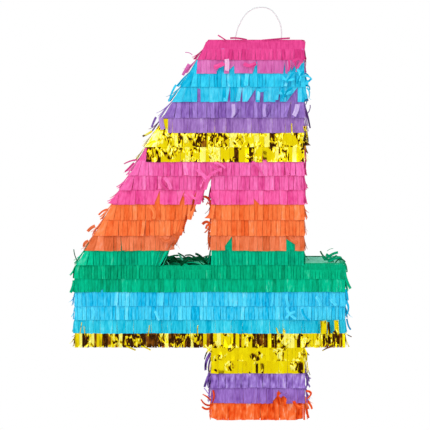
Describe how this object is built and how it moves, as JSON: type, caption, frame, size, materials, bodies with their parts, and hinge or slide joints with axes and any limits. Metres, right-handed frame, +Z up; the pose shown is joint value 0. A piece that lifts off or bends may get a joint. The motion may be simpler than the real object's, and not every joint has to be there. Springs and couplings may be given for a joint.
{
  "type": "pinata",
  "caption": "Hanging party pinata shaped like a numeral 4: a hollow card box with rows of fringed tissue and gold foil, a cord loop on top and a filling flap in the back.",
  "frame": {"origin": "the underside of the hanging loop at its top, where a hook bears, at the middle of the depth", "axes": "+X to the right seen from the front, -Y out of the front face, +Z up"},
  "size_m": [0.273, 0.075, 0.4131],
  "materials": {
    "card": "plain brown corrugated board",
    "cord": "white waxed string",
    "foil_gold": "crinkled metallic gold film",
    "tape": "gummed paper tape",
    "tissue_blue": "matte fringed tissue",
    "tissue_cyan": "matte fringed tissue",
    "tissue_green": "matte fringed tissue",
    "tissue_orange": "matte fringed tissue",
    "tissue_pink": "matte fringed tissue",
    "tissue_purple": "matte fringed tissue"
  },
  "bodies": {
    "hanger": {"hanging_loop": "cord"},
    "carton": {"arm_end_wall": "card", "arm_underside_wall": "card", "back_panel": "card", "foot_left_wall": "card", "foot_right_wall": "card", "foot_sole_wall": "card", "fringe_row_01_pink": "tissue_pink", "fringe_row_02_pink": "tissue_pink", "fringe_row_03_cyan": "tissue_cyan", "fringe_row_04_cyan": "tissue_cyan", "fringe_row_05_purple": "tissue_purple", "fringe_row_06_purple": "tissue_purple", "fringe_row_07_gold": "foil_gold", "fringe_row_08_gold": "foil_gold", "fringe_row_09_pink": "tissue_pink", "fringe_row_10_pink": "tissue_pink", "fringe_row_11_pink": "tissue_pink", "fringe_row_12_orange": "tissue_orange", "fringe_row_13_orange": "tissue_orange", "fringe_row_14_orange": "tissue_orange", "fringe_row_15_green": "tissue_green", "fringe_row_16_green": "tissue_green", "fringe_row_17_green": "tissue_green", "fringe_row_18_blue": "tissue_blue", "fringe_row_19_blue": "tissue_blue", "fringe_row_20_blue": "tissue_blue", "fringe_row_21_gold": "foil_gold", "fringe_row_22_gold": "foil_gold", "fringe_row_23_gold": "foil_gold", "fringe_row_24_purple": "tissue_purple", "fringe_row_25_purple": "tissue_purple", "fringe_row_26_orange": "tissue_orange", "front_panel": "card", "hanger_pad": "card", "hole_base_wall": "card", "hole_slope_wall": "card", "hole_stem_wall": "card", "loop_tail_left": "cord", "loop_tail_right": "cord", "seam_tape": "tape", "slope_wall": "card", "stem_right_wall": "card", "stub_end_wall": "card", "stub_top_wall": "card", "stub_underside_wall": "card", "top_wall": "card"},
    "flap": {"fill_door": "card", "door_fringe_17_green": "tissue_green", "door_fringe_18_blue": "tissue_blue", "door_fringe_19_blue": "tissue_blue", "door_fringe_20_blue": "tissue_blue"}
  },
  "joints": [
    {"name": "rock_on_loop", "type": "hinge", "parent": "hanger", "child": "carton", "pos_m": [0, 0, -0.031], "axis": [1, 0, 0], "range_deg": [-80, 80]},
    {"name": "flap_crease", "type": "hinge", "parent": "carton", "child": "flap", "pos_m": [-0.001, 0.036, -0.27215], "axis": [1, 0, 0], "range_deg": [0, 110]}
  ]
}
